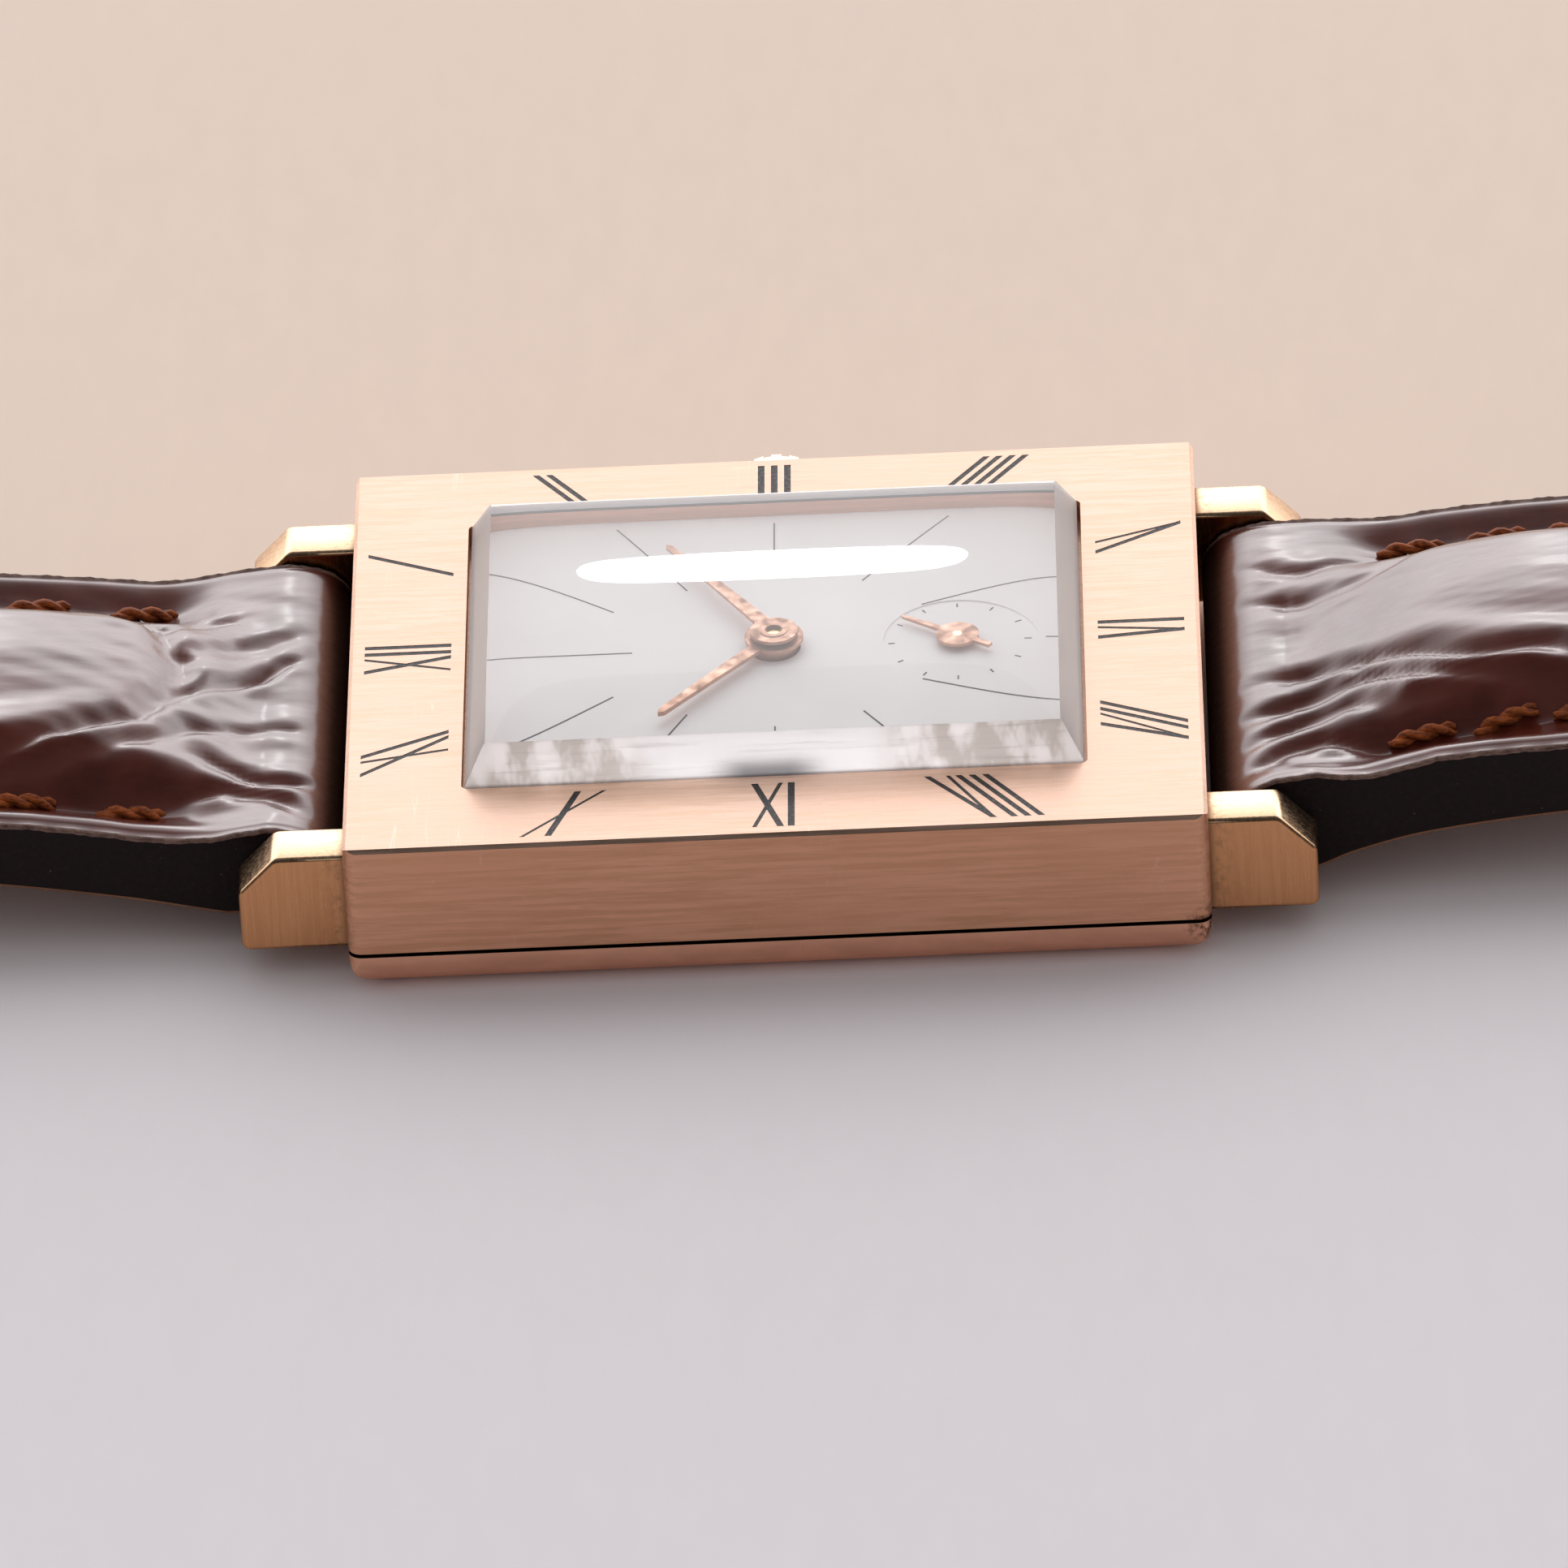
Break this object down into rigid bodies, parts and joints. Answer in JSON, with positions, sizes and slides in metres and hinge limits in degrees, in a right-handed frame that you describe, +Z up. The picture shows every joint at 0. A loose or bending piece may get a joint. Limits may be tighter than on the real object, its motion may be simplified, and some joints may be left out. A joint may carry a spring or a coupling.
{
  "type": "wristwatch",
  "caption": "Square hand-wound dress watch, dial up, with small seconds, engraved roman hour numerals on the frame and an open padded leather strap with keepers and a pin buckle",
  "frame": {"origin": "centre of the case back's flat face, on the surface the watch lies on", "axes": "+X from 12 o'clock to 6 o'clock along the strap, +Y to the crown at 3 o'clock, +Z up out of the dial"},
  "size_m": [0.2323, 0.028, 0.0069],
  "materials": {
    "rose_gold": "brushed along the case",
    "lug_gold": "brushed across the sides",
    "crown_gold": "polished",
    "buckle_gold": "polished",
    "hand_gold": "polished",
    "crystal": "clear",
    "black_enamel": "gloss",
    "dial_silver": "satin",
    "plate": "satin plated",
    "wheel_brass": "polished",
    "steel": "polished",
    "blue_steel": "blued",
    "ruby": "polished synthetic ruby",
    "strap_leather": "glossy, large scales"
  },
  "bodies": {
    "case": {"case_front": "rose_gold", "case_back": "rose_gold", "crystal": "crystal", "lug_1": "lug_gold", "lug_4": "lug_gold", "lug_7": "lug_gold", "lug_10": "lug_gold", "numeral_inlay": "black_enamel", "movement_ring": "plate", "dial": "dial_silver", "mainplate": "plate", "barrel_bridge": "plate", "train_bridge": "plate", "pallet_bridge": "plate", "balance_cock": "plate", "hairspring": "blue_steel", "regulator": "steel", "jewels": "ruby", "bridge_screws": "blue_steel", "click_spring": "blue_steel", "spring_bar_12": "steel", "spring_bar_6": "steel"},
    "minute": {"centre_wheel": "wheel_brass", "cannon_pinion": "steel", "minute_hand": "hand_gold"},
    "hour": {"hour_wheel": "wheel_brass", "hour_hand": "hand_gold"},
    "motion": {"minute_wheel": "wheel_brass"},
    "setting": {"setting_wheel": "wheel_brass"},
    "third": {"third_wheel": "wheel_brass"},
    "fourth": {"fourth_wheel": "wheel_brass", "seconds_hand": "hand_gold"},
    "escape": {"escape_wheel": "steel"},
    "barrel": {"barrel": "wheel_brass", "barrel_cover": "wheel_brass", "mainspring": "blue_steel"},
    "arbor": {"barrel_arbor": "steel", "ratchet_wheel": "steel"},
    "pallet": {"pallet_fork": "steel", "pallet_stones": "ruby"},
    "balance": {"balance_wheel": "wheel_brass", "balance_staff": "steel"},
    "click": {"click": "steel"},
    "crown_wheel": {"crown_wheel": "steel"},
    "winding": {"winding_pinion": "steel"},
    "stem": {"winding_stem": "steel", "crown": "crown_gold"},
    "sliding": {"sliding_pinion": "steel"},
    "lever": {"setting_lever": "steel"},
    "yoke": {"yoke": "steel"},
    "strap_12": {"strap_12": "strap_leather", "fixed_keeper": "strap_leather", "buckle_bar": "steel"},
    "strap_6": {"strap_6": "strap_leather"},
    "keeper": {"sliding_keeper": "strap_leather"},
    "buckle": {"buckle_frame": "buckle_gold"},
    "tongue": {"buckle_tongue": "buckle_gold"}
  },
  "joints": [
    {"name": "minute_turn", "type": "hinge", "parent": "case", "child": "minute", "pos_m": [0, 0, 0.003], "axis": [0, 0, -1], "continuous": true},
    {"name": "hour_turn", "type": "hinge", "parent": "case", "child": "hour", "pos_m": [0, 0, 0.003], "axis": [0, 0, -1], "continuous": true},
    {"name": "motion_turn", "type": "hinge", "parent": "case", "child": "motion", "pos_m": [0, 0.0024, 0.0026], "axis": [0, 0, -1], "continuous": true},
    {"name": "setting_turn", "type": "hinge", "parent": "case", "child": "setting", "pos_m": [0, 0.0051, 0.0025], "axis": [0, 0, -1], "continuous": true},
    {"name": "third_turn", "type": "hinge", "parent": "case", "child": "third", "pos_m": [0.00323, 0.00244, 0.0015], "axis": [0, 0, -1], "continuous": true},
    {"name": "fourth_turn", "type": "hinge", "parent": "case", "child": "fourth", "pos_m": [0.0059, 0, 0.0015], "axis": [0, 0, -1], "continuous": true},
    {"name": "escape_turn", "type": "hinge", "parent": "case", "child": "escape", "pos_m": [0.00482, -0.00288, 0.0015], "axis": [0, 0, -1], "continuous": true},
    {"name": "barrel_turn", "type": "hinge", "parent": "case", "child": "barrel", "pos_m": [-0.0043, 0.00245, 0.0015], "axis": [0, 0, -1], "continuous": true},
    {"name": "winding_turn", "type": "hinge", "parent": "case", "child": "winding", "pos_m": [0, 0.008, 0.00195], "axis": [0, 1, 0], "continuous": true},
    {"name": "crown_wheel_turn", "type": "hinge", "parent": "case", "child": "crown_wheel", "pos_m": [0, 0.006, 0.0008], "axis": [0, 0, 1], "continuous": true},
    {"name": "arbor_turn", "type": "hinge", "parent": "case", "child": "arbor", "pos_m": [-0.0043, 0.00245, 0.001], "axis": [0, 0, 1], "continuous": true},
    {"name": "pallet_swing", "type": "hinge", "parent": "case", "child": "pallet", "pos_m": [0.00278, -0.00397, 0.0018], "axis": [0, 0, 1], "range_deg": [-5, 5]},
    {"name": "balance_swing", "type": "hinge", "parent": "case", "child": "balance", "pos_m": [-0.0003, -0.0056, 0.0013], "axis": [0, 0, 1], "range_deg": [-270, 270], "stiffness_Nm_per_rad": 0.00000012},
    {"name": "click_lift", "type": "hinge", "parent": "case", "child": "click", "pos_m": [-0.008, 0.0047, 0.0006], "axis": [0, 0, 1], "range_deg": [-12, 0], "stiffness_Nm_per_rad": 0.00002},
    {"name": "crown_pull", "type": "slide", "parent": "winding", "child": "stem", "axis": [0, 1, 0], "range_m": [0, 0.0005]},
    {"name": "sliding_shift", "type": "slide", "parent": "winding", "child": "sliding", "axis": [0, 1, 0], "range_m": [-0.0004, 0]},
    {"name": "lever_turn", "type": "hinge", "parent": "case", "child": "lever", "pos_m": [0.0026, 0.0082, 0.0027], "axis": [0, 0, 1], "range_deg": [-11.5, 0]},
    {"name": "yoke_turn", "type": "hinge", "parent": "case", "child": "yoke", "pos_m": [-0.0032, 0.0083, 0.0027], "axis": [0, 0, 1], "range_deg": [-8, 0]},
    {"name": "strap_12_bend", "type": "hinge", "parent": "case", "child": "strap_12", "pos_m": [-0.0158, 0, 0.0026], "axis": [0, 1, 0], "range_deg": [-80, 70]},
    {"name": "strap_6_bend", "type": "hinge", "parent": "case", "child": "strap_6", "pos_m": [0.0158, 0, 0.0026], "axis": [0, -1, 0], "range_deg": [-80, 70]},
    {"name": "keeper_slide", "type": "slide", "parent": "strap_12", "child": "keeper", "axis": [-1, 0, 0], "range_m": [-0.005, 0.0015]},
    {"name": "buckle_turn", "type": "hinge", "parent": "strap_12", "child": "buckle", "pos_m": [-0.0908, 0, 0.002], "axis": [0, 1, 0], "range_deg": [-40, 90]},
    {"name": "tongue_turn", "type": "hinge", "parent": "buckle", "child": "tongue", "pos_m": [-0.0908, 0, 0.002], "axis": [0, 1, 0], "range_deg": [0, 45]}
  ],
  "couplings": [
    {"joint": "hour_turn", "follows": "minute_turn", "ratio": 0.083333},
    {"joint": "motion_turn", "follows": "minute_turn", "ratio": -0.33333},
    {"joint": "setting_turn", "follows": "minute_turn", "ratio": 0.66667},
    {"joint": "third_turn", "follows": "minute_turn", "ratio": -8},
    {"joint": "fourth_turn", "follows": "minute_turn", "ratio": 60},
    {"joint": "escape_turn", "follows": "minute_turn", "ratio": -600},
    {"joint": "barrel_turn", "follows": "minute_turn", "ratio": -0.125},
    {"joint": "crown_wheel_turn", "follows": "winding_turn", "ratio": 0.5},
    {"joint": "arbor_turn", "follows": "winding_turn", "ratio": -0.31579},
    {"joint": "sliding_shift", "follows": "crown_pull", "ratio": -0.8},
    {"joint": "lever_turn", "follows": "crown_pull", "rad_per_m": -384.6},
    {"joint": "yoke_turn", "follows": "crown_pull", "rad_per_m": -258}
  ]
}
